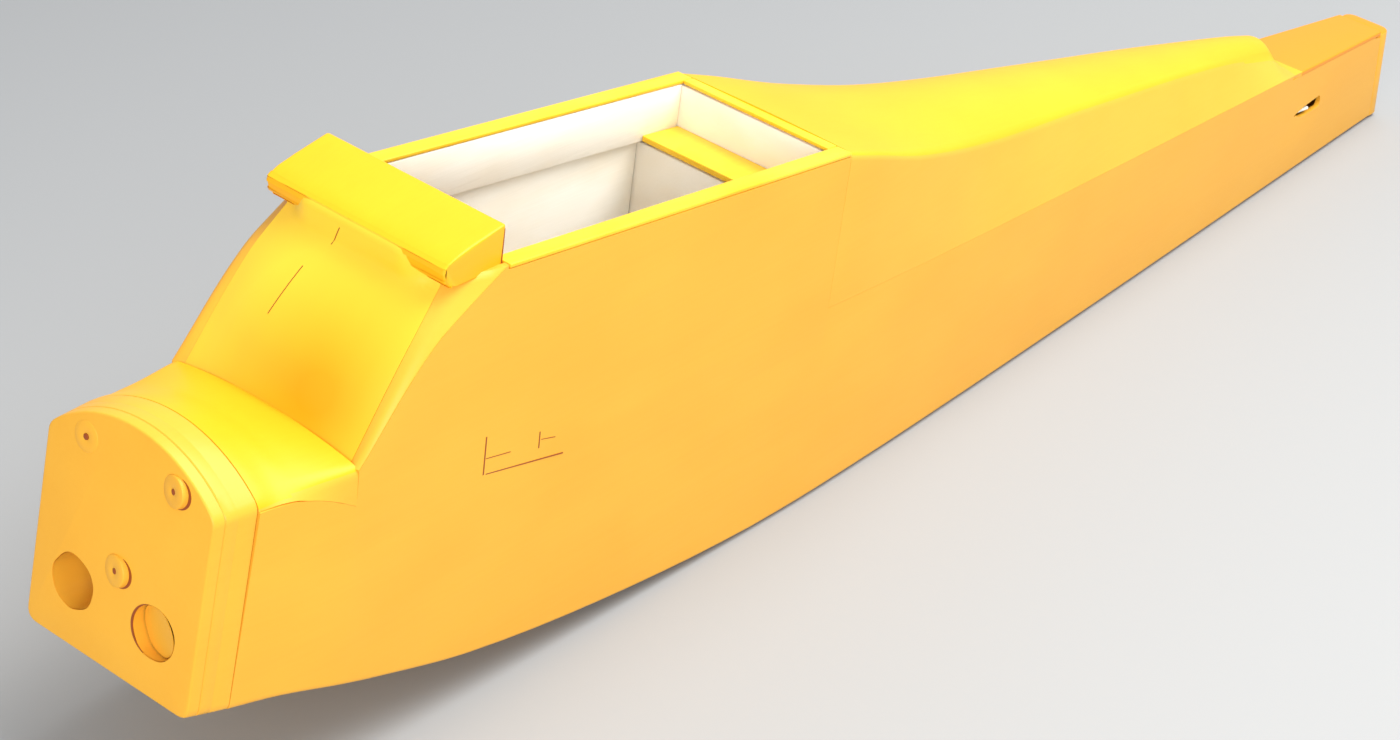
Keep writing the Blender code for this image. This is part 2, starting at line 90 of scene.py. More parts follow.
LEAN = math.atan(0.111)
RING_END = 0.022
FIREWALL_T = 0.006
KEEL_ROUND = 0.0022  # the rounding that the sides' feet are drawn for
SEAT_START = 0.918  # where the side skins step down to the stabiliser seat
NUT_FRONT, NUT_BACK = 0.0063, 0.0145  # behind the firewall's face
ROD_R, TUBE_IN, TUBE_OUT = 0.0012, 0.0018, 0.0026
DECK_AFT = 0.0842
SADDLE_END = 0.411
DECK_FALL = (0.903, 0.930)  # where the turtle deck runs down to the stabiliser seat
TAIL_RAKE = 0.2
SHEET = 0.0028
HAIR = 0.0001


def line(stations):
    """A smooth line through (x, value) stations that never overshoots them."""
    xs = [s[0] for s in stations]
    ys = [s[1] for s in stations]
    rise = [(ys[i + 1] - ys[i]) / (xs[i + 1] - xs[i]) for i in range(len(xs) - 1)]
    slope = [rise[0]]
    for a, b in zip(rise, rise[1:]):
        slope.append(2 * a * b / (a + b) if a * b > 0 else 0.0)
    slope.append(rise[-1])

    def value(x):
        i = max(k for k in range(len(xs) - 1) if k == 0 or xs[k] <= x)
        span = xs[i + 1] - xs[i]
        t = (x - xs[i]) / span
        start = (1 + 2 * t) * (1 - t) ** 2 * ys[i] + t * (1 - t) ** 2 * span * slope[i]
        end = t * t * (3 - 2 * t) * ys[i + 1] + t * t * (t - 1) * span * slope[i + 1]
        return start + end

    return value


half_width, belly, deck_edge, deck_rise = map(line, (HALF_WIDTH, BELLY, DECK_EDGE, DECK_RISE))
cheek_low, cheek_tuck, pillar, rim = map(line, (CHEEK_LOW, CHEEK_TUCK, PILLAR, RIM))
longeron, flank_top, flank_inset, crest = map(line, (LONGERON, FLANK_TOP, FLANK_INSET, CREST))
glass_half, glass_edge, glass_bulge = map(line, (GLASS_HALF, GLASS_EDGE, GLASS_BULGE))
raked = line([(z, x) for x, z in PILLAR])


def spaced(start, end, count):
    """count + 1 evenly spaced numbers from start to end."""
    return [start + (end - start) * i / count for i in range(count + 1)]


def ease(low, high, x):
    """0 before low, 1 after high, and smooth between them."""
    t = min(1.0, max(0.0, (x - low) / (high - low)))
    return t * t * (3 - 2 * t)


def lean_x(offset, z):
    """X of a plane that lies offset behind the firewall's face, at height z."""
    return offset / math.cos(LEAN) + (z - FOOT) * math.tan(LEAN)


# ---------------------------------------------------------------- sizes and colours that a user changes
def length(name, description, default):
    return bpy.props.FloatProperty(
        name=name, description=description, default=default, min=0.0,
        unit="LENGTH", subtype="DISTANCE", precision=4,
    )


def setting(name, description, default, **kind):
    return bpy.props.FloatProperty(name=name, description=description, default=default, **kind)


def to_linear(code):
    """An sRGB hex colour as linear red, green, blue and alpha."""
    parts = [int(code[i:i + 2], 16) / 255 for i in (1, 3, 5)]
    return (*[p / 12.92 if p <= 0.04045 else ((p + 0.055) / 1.055) ** 2.4 for p in parts], 1.0)


def colour(name, description, code):
    return bpy.props.FloatVectorProperty(
        name=name, description=description, default=to_linear(code), size=4, min=0.0, max=1.0, subtype="COLOR"
    )


class FuselageSizes(bpy.types.PropertyGroup):
    keel_round: length("Lower edge", "Rounding of the sides' lower edges", KEEL_ROUND)
    corner_round: length("Nose corner", "Rounding of the firewall's four corners", 0.0060)
    face_round: length("Nose edge", "Rounding of the firewall's front edge", 0.0010)
    board_ease: length("Board edge", "Rounding on the edges of boards and formers", 0.0005)
    rim_ease: length("Rim edge", "Rounding on the edges of the saddle's caps", 0.0005)
    washer_round: length("Washer edge", "Rounding of the mount washers", 0.0005)
    deck_wall: length("Deck wall", "Thickness of the nose and turtle deck skins", SHEET)
    wrinkle: length("Wrinkle", "Depth of the gathers in the film round the leading edge block", 0.0010)
    seam: length("Crease", "Width of a crease line in the film", 0.0007)


class FuselageColours(bpy.types.PropertyGroup):
    # The side film and the top film are shaded and lit copies of one covering film: the top film's yellower colour
    # is painted light on decks, rims and tops.
    side_film: colour("Side film", "Covering film on the sides and nose", "#EEAF38")
    side_film_low: colour("Side film, thin", "Covering film where it is stretched thinner", "#EBA933")
    top_film: colour("Top film", "Covering film on the decks and rims", "#EFB31B")
    top_film_low: colour("Top film, thin", "Top covering film where it is stretched thinner", "#EDAC18")
    # Painted light: a lighter copy of the top film for the shelf and the saddle's rim, which lie in shade, and for
    # the windshield's upper part.
    lit_shelf_film: colour(
        "Shelf film", "Film on the shelf and the saddle's rim, lightened with painted light", "#F5CB38"
    )
    # Painted shade: a darker copy of the film for the stabiliser seat, which gets less light.
    seat_shade_film: colour("Seat film", "Film on the stabiliser seat, darkened with painted shade", "#E48F1C")
    # Partly painted shade: the deeper colour low in the windshield's middle stands for thin film over the open bay
    # and for shade.
    open_film_and_shade: colour(
        "Open film", "Film stretched over the open windshield bay, with no wood behind it", "#E79A10"
    )
    # Painted shade: the dark colour of the strips and dots that stand for the shade in creases, seams and sockets.
    crease: colour("Crease", "Shadowed fold in the film", "#93430A")
    paint: colour("Paint", "White paint inside the saddle", "#F8F5EA")
    paint_low: colour("Paint, worn", "White paint where the wood shows through", "#F3EAD6")
    balsa: colour("Balsa", "Balsa wood", "#E3C598")
    balsa_dark: colour("Balsa grain", "Darker grain of the balsa", "#C9A46E")
    birch: colour("Birch plywood", "Face of the plywood", "#D9B27A")
    birch_dark: colour("Birch grain", "Darker grain of the plywood", "#B98A50")
    steel: colour("Zinc plate", "Zinc-plated steel", "#B9BABB")
    nylon: colour("Nylon", "Natural nylon", "#ECEADF")
    floor: colour("Floor", "Studio floor near the camera's side", "#A9AAAA")
    # Painted shade: the floor's colour darkens towards +Y, where it runs away from the lights.
    floor_shade: colour("Far floor", "Studio floor where it runs away into shade", "#76787B")


class FuselageStudio(bpy.types.PropertyGroup):
    lens: setting("Lens", "Focal length on a 36 mm wide sensor", 85.5, subtype="DISTANCE_CAMERA")
    camera_x: setting("Camera X", "Camera's place along the fuselage", -1.2970, unit="LENGTH")
    camera_y: setting("Camera Y", "Camera's place to port", -0.8301, unit="LENGTH")
    camera_z: setting("Camera Z", "Camera's height", 0.8936, unit="LENGTH")
    heading: setting("Heading", "Direction of view from +X", math.radians(35.818), unit="ROTATION")
    tilt: setting("Tilt", "Direction of view below the horizon", math.radians(30.445), unit="ROTATION")
    roll: setting("Roll", "Camera's roll about its view", math.radians(7.734), unit="ROTATION")
    key_power: setting("Key light", "Power of the overhead softbox", 58.0, unit="POWER")
    fill_power: setting("Fill light", "Power of the light beside the camera", 46.0, unit="POWER")
    ambient: setting("Ambient", "Strength of the even surrounding light", 0.70, min=0.0)


# ---------------------------------------------------------------- materials
def add_node(tree, kind, links=None, **settings):
    """Adds one node: settings name its properties or inputs, and links its inputs' sources."""
    made = tree.nodes.new(kind)
    for key, value in settings.items():
        if hasattr(made, key):
            setattr(made, key, value)
        else:
            made.inputs[key.replace("_", " ")].default_value = value
    for key, source in (links or {}).items():
        tree.links.new(source, made.inputs[key])
    return made


def material(name):
    """A new material's node tree and its Principled shader, or None if the material exists."""
    made = bpy.data.materials.get(name)
    if made:
        return made, None, None
    made = bpy.data.materials.new(name)
    made.use_nodes = True
    return made, made.node_tree, made.node_tree.nodes["Principled BSDF"]


def set_shader(shader, **values):
    for key, value in values.items():
        shader.inputs[key.replace("_", " ")].default_value = value


def mixed(tree, factor, first, second):
    """Blends two colours by a factor socket, and gives the result's socket."""
    mix = add_node(tree, "ShaderNodeMix", data_type="RGBA")
    mix.inputs[6].default_value = first
    mix.inputs[7].default_value = second
    tree.links.new(factor, mix.inputs[0])
    return mix.outputs[2]


def ramped(tree, factor, low, high):
    """A factor socket stretched so that low becomes 0 and high becomes 1."""
    stretch = add_node(tree, "ShaderNodeMapRange", {0: factor})
    stretch.inputs[1].default_value = low
    stretch.inputs[2].default_value = high
    return stretch.outputs[0]


def pattern(tree, scale, detail=2.0, roughness=0.5):
    """Noise on object coordinates; scale is cells per metre along X, Y and Z."""
    place = add_node(tree, "ShaderNodeTexCoord")
    sized = add_node(tree, "ShaderNodeMapping", {"Vector": place.outputs["Object"]}, Scale=scale)
    made = add_node(
        tree, "ShaderNodeTexNoise", {"Vector": sized.outputs[0]}, Scale=1.0, Detail=detail,
        Roughness=roughness
    )
    return made.outputs[0]


def per_metre(*millimetres):
    """Cells per metre for cells of these sizes in millimetres."""
    return tuple(1000.0 / size for size in millimetres)


def bumped(tree, shader, height, distance, strength=1.0):
    bump = add_node(tree, "ShaderNodeBump", {"Height": height}, Distance=distance, Strength=strength)
    tree.links.new(bump.outputs[0], shader.inputs["Normal"])


def covering_film(name, colour_high, colour_low):
    """Heat-shrunk polyester covering film over balsa: a taut, softly glossy skin. It is a little thinner
    in soft patches 70 mm long, the sheeting's grain 2 mm wide shows faintly, and it lies in slack waves."""
    made, tree, shader = material(name)
    if tree:
        set_shader(shader, Roughness=0.38, IOR=1.45, Specular_IOR_Level=0.28)
        patches = ramped(tree, pattern(tree, per_metre(70, 45, 45)), 0.35, 0.68)
        grain = ramped(tree, pattern(tree, per_metre(120, 2.0, 2.0), 3.0), 0.35, 0.75)
        both = add_node(tree, "ShaderNodeMath", operation="MULTIPLY_ADD")
        tree.links.new(patches, both.inputs[0])
        both.inputs[1].default_value = 0.65
        faint = add_node(tree, "ShaderNodeMath", operation="MULTIPLY")
        tree.links.new(grain, faint.inputs[0])
        faint.inputs[1].default_value = 0.30
        tree.links.new(faint.outputs[0], both.inputs[2])
        base = mixed(tree, both.outputs[0], colour_high, colour_low)
        tree.links.new(base, shader.inputs["Base Color"])
        waves = pattern(tree, per_metre(55, 22, 22), 1.0)
        peel = pattern(tree, per_metre(2.5, 1.6, 1.6), 1.0)
        sum_up = add_node(tree, "ShaderNodeMath", operation="MULTIPLY_ADD")
        tree.links.new(peel, sum_up.inputs[0])
        sum_up.inputs[1].default_value = 0.05
        tree.links.new(waves, sum_up.inputs[2])
        bumped(tree, shader, sum_up.outputs[0], 0.0009, 0.35)
    return made


def open_film_and_shade(name, colour_high, colour_low, middle, reach):
    """Covering film stretched over an open bay: it is deeper in colour low in its middle, partly because it is
    thinnest there with no wood behind it and partly as painted shade; smooth but for slow pulls 60 mm long."""
    made, tree, shader = material(name)
    if tree:
        set_shader(shader, Roughness=0.36, IOR=1.45, Specular_IOR_Level=0.28)
        place = add_node(tree, "ShaderNodeTexCoord")
        centred = add_node(
            tree, "ShaderNodeMapping", {"Vector": place.outputs["Object"]},
            Location=tuple(-m / r for m, r in zip(middle, reach)), Scale=tuple(1 / r for r in reach),
        )
        ball = add_node(tree, "ShaderNodeTexGradient", {0: centred.outputs[0]}, gradient_type="SPHERICAL")
        base = mixed(tree, ramped(tree, ball.outputs[1], 0.0, 0.85), colour_high, colour_low)
        tree.links.new(base, shader.inputs["Base Color"])
        bumped(tree, shader, pattern(tree, per_metre(60, 14, 60), 1.0), 0.0012, 0.4)
    return made


def wood(name, colour_high, colour_low, grain_mm, rough, bump_mm):
    """Sawn or sliced wood with its grain along the body: long streaks, darker late wood and a matt face."""
    made, tree, shader = material(name)
    if tree:
        set_shader(shader, Roughness=rough, IOR=1.45)
        streaks = pattern(tree, per_metre(90, grain_mm, grain_mm), 4.0, 0.6)
        fibre = pattern(tree, per_metre(14, 0.9, 0.9), 2.0)
        base = mixed(tree, ramped(tree, streaks, 0.38, 0.66), colour_high, colour_low)
        tree.links.new(base, shader.inputs["Base Color"])
        bumped(tree, shader, fibre, bump_mm / 1000, 0.6)
    return made


def paint(name, colour_high, colour_low):
    """Brushed white paint on sanded balsa: even and matt, with the grain 1.5 mm wide just raised and
    the coat thinner in patches 40 mm across, where it looks creamy."""
    made, tree, shader = material(name)
    if tree:
        set_shader(shader, Roughness=0.55, IOR=1.46)
        patches = ramped(tree, pattern(tree, per_metre(60, 40, 28)), 0.40, 0.75)
        tree.links.new(mixed(tree, patches, colour_high, colour_low), shader.inputs["Base Color"])
        bumped(tree, shader, pattern(tree, per_metre(50, 1.5, 1.5), 3.0), 0.0002, 0.5)
    return made


def plated_steel(name, base):
    """Zinc-plated steel, rolled and tumbled: a grey metal with a soft sheen and fine uneven polish."""
    made, tree, shader = material(name)
    if tree:
        set_shader(shader, Base_Color=base, Metallic=1.0)
        polish = ramped(tree, pattern(tree, per_metre(1.8, 1.8, 1.8)), 0.3, 0.7)
        rough = add_node(tree, "ShaderNodeMapRange", {0: polish})
        rough.inputs[3].default_value = 0.24
        rough.inputs[4].default_value = 0.40
        tree.links.new(rough.outputs[0], shader.inputs["Roughness"])
        bumped(tree, shader, pattern(tree, per_metre(0.8, 0.8, 0.8)), 0.00004, 0.5)
    return made


def nylon(name, base):
    """Extruded natural nylon: milky, faintly see-through at its edges, with fine draw lines along it."""
    made, tree, shader = material(name)
    if tree:
        set_shader(
            shader, Base_Color=base, Roughness=0.38, IOR=1.53, Subsurface_Weight=0.15, Subsurface_Scale=0.002
        )
        bumped(tree, shader, pattern(tree, per_metre(40, 0.5, 0.5)), 0.00005, 0.5)
    return made


def painted_shade_line(name, base):
    """Painted shade along a crease, seam or socket in the film: a dark colour that stands for the shade in it,
    with the film's gloss.
    """
    made, tree, shader = material(name)
    if tree:
        set_shader(shader, Base_Color=base, Roughness=0.5, IOR=1.5)
        bumped(tree, shader, pattern(tree, per_metre(4, 1, 1)), 0.0001, 0.5)
    return made


def seamless_paper(name, near, far):
    """Matt studio paper: a pale grey with a very fine tooth, 1 mm across, with painted shade that darkens it
    towards +Y, out to about 2 m behind the object."""
    made, tree, shader = material(name)
    if tree:
        set_shader(shader, Roughness=0.9, Specular_IOR_Level=0.1)
        place = add_node(tree, "ShaderNodeTexCoord")
        split = add_node(tree, "ShaderNodeSeparateXYZ", {0: place.outputs["Object"]})
        base = mixed(tree, ramped(tree, split.outputs[1], -0.5, 1.8), near, far)
        tree.links.new(base, shader.inputs["Base Color"])
        bumped(tree, shader, pattern(tree, per_metre(1.0, 1.0, 1.0)), 0.00005, 0.3)
    return made


def finish_for(slot):
    """The material that stands for one of the record's material slots."""
    c = bpy.context.scene.fuselage_colours
    makers = {
        "film": lambda: covering_film("polyester_film_orange_yellow", c.side_film, c.side_film_low),
        # The top film is painted light: a yellower copy of the side film for the faces that the light falls on.
        "top_film": lambda: covering_film("polyester_film_painted_top_light", c.top_film, c.top_film_low),
        "plywood": lambda: wood("birch_plywood", c.birch, c.birch_dark, 3.0, 0.6, 0.05),
        "balsa": lambda: wood("sanded_balsa", c.balsa, c.balsa_dark, 5.0, 0.75, 0.08),
        "white_interior": lambda: paint("brushed_white_paint", c.paint, c.paint_low),
        "steel": lambda: plated_steel("zinc_plated_steel", c.steel),
        "nylon": lambda: nylon("natural_nylon", c.nylon),
    }
    return makers[slot]()


# ---------------------------------------------------------------- helpers
def face_outwards(bm):
    bm.normal_update()
    bmesh.ops.recalc_face_normals(bm, faces=bm.faces)


def sections_mesh(sections, closed):
    """A grid pulled onto sections, which are equally long lists of points in order along a piece. A closed
    one has each section joined into a ring, and its two ends filled."""
    rows, columns = len(sections), len(sections[0]) + (1 if closed else 0)
    bm = bmesh.new()
    bmesh.ops.create_grid(bm, x_segments=rows - 1, y_segments=columns - 1, size=0.5)
    for vert in bm.verts:
        i = round((vert.co.x + 0.5) * (rows - 1))
        j = round((vert.co.y + 0.5) * (columns - 1))
        vert.co = sections[i][j % len(sections[0])]
    if closed:
        bmesh.ops.remove_doubles(bm, verts=bm.verts, dist=1e-6)
        bmesh.ops.holes_fill(bm, edges=bm.edges)
    face_outwards(bm)
    return bm


def wall(bm, thickness):
    """Gives an open skin its thickness, inwards."""
    bmesh.ops.solidify(bm, geom=bm.faces[:], thickness=thickness)
    face_outwards(bm)


def ease_edges(bm, edges, width, segments=3):
    bmesh.ops.bevel(
        bm, geom=list(edges), offset=width, offset_type="OFFSET", segments=segments, profile=0.5,
        affect="EDGES", material=-1, clamp_overlap=True,
    )


def corner_edges(bm, degrees=30):
    """Edges whose two faces meet at more than this angle."""
    limit = math.radians(degrees)
    return [e for e in bm.edges if len(e.link_faces) == 2 and e.calc_face_angle(0) > limit]


def finish_piece(name, bm, slot, body="airframe", replaces=(), smooth=40, move=True):
    """Makes the object, moves it to the frame's place, gives it its finish and ties it to its body."""
    if move:
        bmesh.ops.translate(bm, verts=bm.verts, vec=(NOSE, 0, 0))
    mesh = bpy.data.meshes.new(name)
    bm.to_mesh(mesh)
    bm.free()
    piece = bpy.data.objects.new(name, mesh)
    bpy.context.scene.collection.objects.link(piece)
    mesh.materials.append(finish_for(slot))
    mesh.shade_smooth()
    mesh.set_sharp_from_angle(angle=math.radians(smooth))
    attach(piece, body)
    if replaces:
        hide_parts(*replaces)
    return piece


def shaded_side_film_below(piece, height):
    """Gives the side film to the part of a deck that lies below a line of heights along it, so that only the
    deck's top keeps the top film's painted light.
    """
    piece.data.materials.append(finish_for("film"))
    for face in piece.data.polygons:
        if face.center.z < height(face.center.x - NOSE):
            face.material_index = 1


def cut(piece, *tools):
    """Takes tool shapes out of a piece for good."""
    for bm in tools:
        mesh = bpy.data.meshes.new("tool")
        bm.to_mesh(mesh)
        bm.free()
        tool = bpy.data.objects.new("tool", mesh)
        bpy.context.scene.collection.objects.link(tool)
        step = piece.modifiers.new("cut", "BOOLEAN")
        step.object = tool
        step.operation = "DIFFERENCE"
        step.solver = "EXACT"
        bpy.context.view_layer.update()
        shape = bpy.data.meshes.new_from_object(piece.evaluated_get(bpy.context.evaluated_depsgraph_get()))
        piece.modifiers.remove(step)
        piece.data = shape
        bpy.data.objects.remove(tool)


def cad_copy(node):
    """A CAD node's mesh with its corners merged and its flat faces made whole."""
    bm = bmesh.new()
    bm.from_mesh(frame["nodes"][node].data)
    bmesh.ops.remove_doubles(bm, verts=bm.verts, dist=1e-5)
    bmesh.ops.dissolve_limit(bm, angle_limit=math.radians(0.4), verts=bm.verts, edges=bm.edges)
    return bm


def turned(profile, place, steps=48):
    """A profile of (radius, height) spun about Z into a closed solid, then put in place."""
    bm = bmesh.new()
    verts = [bm.verts.new((r, 0, z)) for r, z in profile]
    edges = [bm.edges.new(pair) for pair in zip(verts, verts[1:])]
    bmesh.ops.spin(
        bm, geom=verts + edges, cent=(0, 0, 0), axis=(0, 0, 1), angle=2 * math.pi, steps=steps, use_merge=True
    )
    bmesh.ops.remove_doubles(bm, verts=bm.verts, dist=1e-6)
    bmesh.ops.recalc_face_normals(bm, faces=bm.faces)
    bmesh.ops.transform(bm, matrix=place, verts=bm.verts)
    return bm


def board_from(node, width, segments=2):
    """A CAD board with its edges eased."""
    bm = cad_copy(node)
    ease_edges(bm, corner_edges(bm), width, segments)
    return bm


def deck_arch(half, low, rise, count):
    """A circular arc of (y, z) points over the centre line, port to starboard."""
    radius = (half * half + rise * rise) / (2 * rise)
    return [(y, low + rise - radius + math.sqrt(radius * radius - y * y)) for y in spaced(-half, half, count)]


def filleted(points, cuts, steps=5):
    """An outline with some corners rounded: cuts gives each round's reach from its corner, by index."""
    made = []
    for i, here in enumerate(points):
        if i not in cuts:
            made.append(here)
            continue
        corner = Vector(here)
        ends = []
        for other in (points[i - 1], points[(i + 1) % len(points)]):
            reach = Vector(other) - corner
            ends.append(corner + reach * min(cuts[i] / reach.length, 0.95))
        for t in spaced(0, 1, steps):
            made.append(tuple(ends[0] * (1 - t) ** 2 + corner * 2 * t * (1 - t) + ends[1] * t * t))
    return made


ARCH_STEPS = 20
TOP_CORNER = 0.0034
SIDE_FOOT = line([(0, 0.0045), (0.06, 0.0030), (0.2, 0.0022), (1.1, 0.0020)])


def nose_ring_outline(offset, inside=0.0):
    """The nose's outline on a plane parallel to the firewall."""
    half = half_width(offset) - inside
    top = deck_arch(half, deck_edge(offset), deck_rise(offset) - inside, ARCH_STEPS)
    foot = belly(offset) + inside
    outline = [(-half, foot)] + top + [(half, foot)]
    low_corner = bpy.context.scene.fuselage_sizes.corner_round * (1 - offset / RING_END * 0.25)
    outline = filleted(
        outline, {0: low_corner, 1: TOP_CORNER, len(top): TOP_CORNER, len(top) + 1: low_corner}
    )
    return [Vector((lean_x(offset, z), y, z)) for y, z in outline]


def nose_axis_place(y, z):
    """A frame on the firewall's face, with its Z pointing forward out of the face."""
    turn = Matrix.Rotation(-math.pi / 2 + LEAN, 4, "Y")
    return Matrix.Translation((lean_x(0, z), y, z)) @ turn


def line_holes():
    """The centres (y, z) of the two line holes, from the record's openings."""
    found = []
    for opening in frame["record"]["physics"]["openings"]:
        if opening["name"].startswith("line_hole"):
            low, high = opening["box_m"]
            found.append(((low[1] + high[1]) / 2, (low[2] + high[2]) / 2))
    return found


def bolt_centre(side):
    """Where a mount bolt's axis meets the firewall's face, as (y, z), from its blind nut."""
    low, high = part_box(f"blind_nut_{side}")
    middle = (low + high) / 2
    return middle.y, middle.z + (NUT_FRONT + NUT_BACK) / 2 * math.sin(LEAN)


def hole_ring(y, z, forward, grow, count=56):
    """A line hole's hand-cut edge, this far in front of the firewall, as a ring of points."""
    place = nose_axis_place(y, z)
    ring = []
    for a in spaced(0, 2 * math.pi, count)[:-1]:
        wander = 0.0007 * noise.noise(Vector((math.cos(a) * 1.6, math.sin(a) * 1.6, y * 100)))
        radius = 0.0119 + grow + wander
        ring.append(place @ Vector((radius * math.cos(a), radius * math.sin(a), forward)))
    return ring


# ---------------------------------------------------------------- nose
class BuildFirewall(bpy.types.Operator):
    """Builds the covered firewall plate with its line holes"""

    bl_idname = "fuselage.firewall"
    bl_label = "Firewall"

    def execute(self, context):
        sizes = context.scene.fuselage_sizes
        back, edge = FIREWALL_T, sizes.face_round
        rings = []
        for a in spaced(0, math.pi / 2, 3):
            rings.append(nose_ring_outline(edge * (1 - math.cos(a)), edge * (1 - math.sin(a))))
        rings.append(nose_ring_outline(back - 0.0004))
        rings.append(nose_ring_outline(back, 0.0004))
        plate = finish_piece(
            "firewall_covered", sections_mesh(rings, True), "film", replaces=["firewall"], smooth=35
        )
        tools = []
        for y, z in line_holes():
            rings = [hole_ring(y, z, forward, 0.0004) for forward in (0.010, -0.020)]
            tool = sections_mesh(rings, True)
            bmesh.ops.translate(tool, verts=tool.verts, vec=(NOSE, 0, 0))
            tools.append(tool)
        cut(plate, *tools)
        plate.data.shade_smooth()
        plate.data.set_sharp_from_angle(angle=math.radians(35))
        depths = {"port": 0.014, "starboard": 0.026}
        for y, z in line_holes():
            side = "port" if y < 0 else "starboard"
            walls = [
                (-0.0003, 0.0), (-0.0010, 0.0003), (-depths[side], 0.0003), (-depths[side], -0.0002),
                (-0.0003, 0.0)
            ]
            rings = [hole_ring(y, z, forward, grow) for forward, grow in walls]
            finish_piece(f"line_hole_lining_{side}", sections_mesh(rings, True), "film", smooth=50)
        y, z = line_holes()[0]
        tilt = nose_axis_place(y, z) @ Matrix.Translation((0, 0, -0.0032)) @ Matrix.Rotation(
            math.radians(-16), 4, (0.85, 0.53, 0)
        )
        rings = [hole_ring(y, z, 0.0, -0.0006), hole_ring(y, z, -0.0004, -0.0006)]
        flap = sections_mesh(rings, True)
        bmesh.ops.transform(flap, matrix=tilt @ nose_axis_place(y, z).inverted(), verts=flap.verts)
        finish_piece("line_hole_flap_port", flap, "film", smooth=50)
        return {"FINISHED"}


class BuildNoseRing(bpy.types.Operator):
    """Builds the covered ring behind the firewall"""

    bl_idname = "fuselage.nose_ring"
    bl_label = "Nose ring"

    def execute(self, context):
        front, back, deep, soft = 0.0061, RING_END, 0.004, 0.0005
        profile = [
            (front, soft), (front + soft, 0), (0.012, 0), (0.0125, 0.00015), (0.013, 0), (back - soft, 0),
            (back, soft), (back, deep), (front, deep), (front, soft),
        ]
        rings = [nose_ring_outline(offset, inside) for offset, inside in profile]
        finish_piece(
            "nose_ring_covered", sections_mesh(rings, True), "film", replaces=["nose_ring"], smooth=35
        )
        return {"FINISHED"}


class BuildNoseDeck(bpy.types.Operator):
    """Builds the deck between the nose ring and the windshield, with its rolled cheeks"""

    bl_idname = "fuselage.nose_deck"
    bl_label = "Nose deck"

    def execute(self, context):
        front = RING_END + 0.0003
        rings = []
        for x in spaced(front, DECK_AFT, 20):
            half, low = half_width(x), cheek_low(x)
            top = deck_arch(half - cheek_tuck(x), deck_edge(x), deck_rise(x), ARCH_STEPS)
            outline = filleted([(-half, low)] + top + [(half, low)], {1: 0.0045, len(top): 0.0045})
            share = max(0.0, 1 - (x - front) / 0.035)
            rings.append([Vector((x + share * lean_x(0, z), y, z)) for y, z in outline])
        bm = sections_mesh(rings, False)
        wall(bm, context.scene.fuselage_sizes.deck_wall)
        deck = finish_piece("nose_deck_covered", bm, "top_film", replaces=["nose_deck"], smooth=35)
        shaded_side_film_below(deck, lambda x: deck_edge(x) - 0.0012)
        return {"FINISHED"}


class BuildMountBolts(bpy.types.Operator):
    """Builds the three mount screws with their covered washers and blind nuts"""

    bl_idname = "fuselage.mount_bolts"
    bl_label = "Mount bolts"

    def execute(self, context):
        soft = context.scene.fuselage_sizes.washer_round
        washer = [
            (0.0022, -0.0002), (0.0071, -0.0002), (0.0071, 0.0028 - soft), (
                0.0071 - soft * 0.4, 0.0028 - soft * 0.3
            ),
            (0.0071 - soft, 0.0028), (0.0020, 0.0029), (0.0014, 0.0026), (0.0014, 0.0012), (0.0022, 0.0011), (
                0.0022, -0.0002
            ),
        ]
        screw = [
            (0, -0.0002), (0.0020, -0.0002), (0.0020, 0.0006), (0.0017, 0.0009), (0.0011, 0.0009), (
                0.0010, 0.0002
            ),
            (0, 0.0002),
        ]
        nut = [
            (0.0024, -NUT_FRONT), (0.0075, -NUT_FRONT), (0.0075, -0.0077), (0.0038, -0.0077), (
                0.0035, -0.0080
            ),
            (0.0035, -NUT_BACK), (0.0024, -NUT_BACK), (0.0024, -NUT_FRONT),
        ]
        for side in ("port", "starboard", "lower"):
            place = nose_axis_place(*bolt_centre(side))
            lift, tip = (-0.0026, 0) if side == "starboard" else (-0.0014, -11)
            pressed = place @ Matrix.Translation((0, 0, lift)) @ Matrix.Rotation(math.radians(tip), 4, "X")
            finish_piece(
                f"mount_washer_{side}", turned(washer, pressed), "film", replaces=[f"mount_bolt_{side}"]
            )
            finish_piece(f"mount_screw_{side}", turned(screw, pressed), "steel", smooth=30)
            finish_piece(
                f"blind_nut_{side}_turned", turned(nut, place), "steel", replaces=[f"blind_nut_{side}"]
            )
        return {"FINISHED"}


# ---------------------------------------------------------------- sides, belly and tail
def side_top(x):
    """Height of a side skin's upper edge."""
    if x <= DECK_AFT:
        return cheek_low(x) - HAIR
    if x <= PILLAR[-1][0]:
        return pillar(x)
    if x <= SADDLE_END:
        return rim(x) - 0.0022
    return longeron(x) - (HAIR if x <= SEAT_START else SHEET + HAIR)


def side_stations():
    steps = []
    for x in (DECK_AFT, PILLAR[-1][0], SADDLE_END, SEAT_START):
        steps += [x, x + HAIR]
    steps += spaced(0.036, 0.078, 6) + spaced(0.089, 0.162, 12) + spaced(0.19, 0.395, 9)
    return sorted(steps + spaced(0.43, 0.90, 16) + spaced(0.935, 1.035, 4))


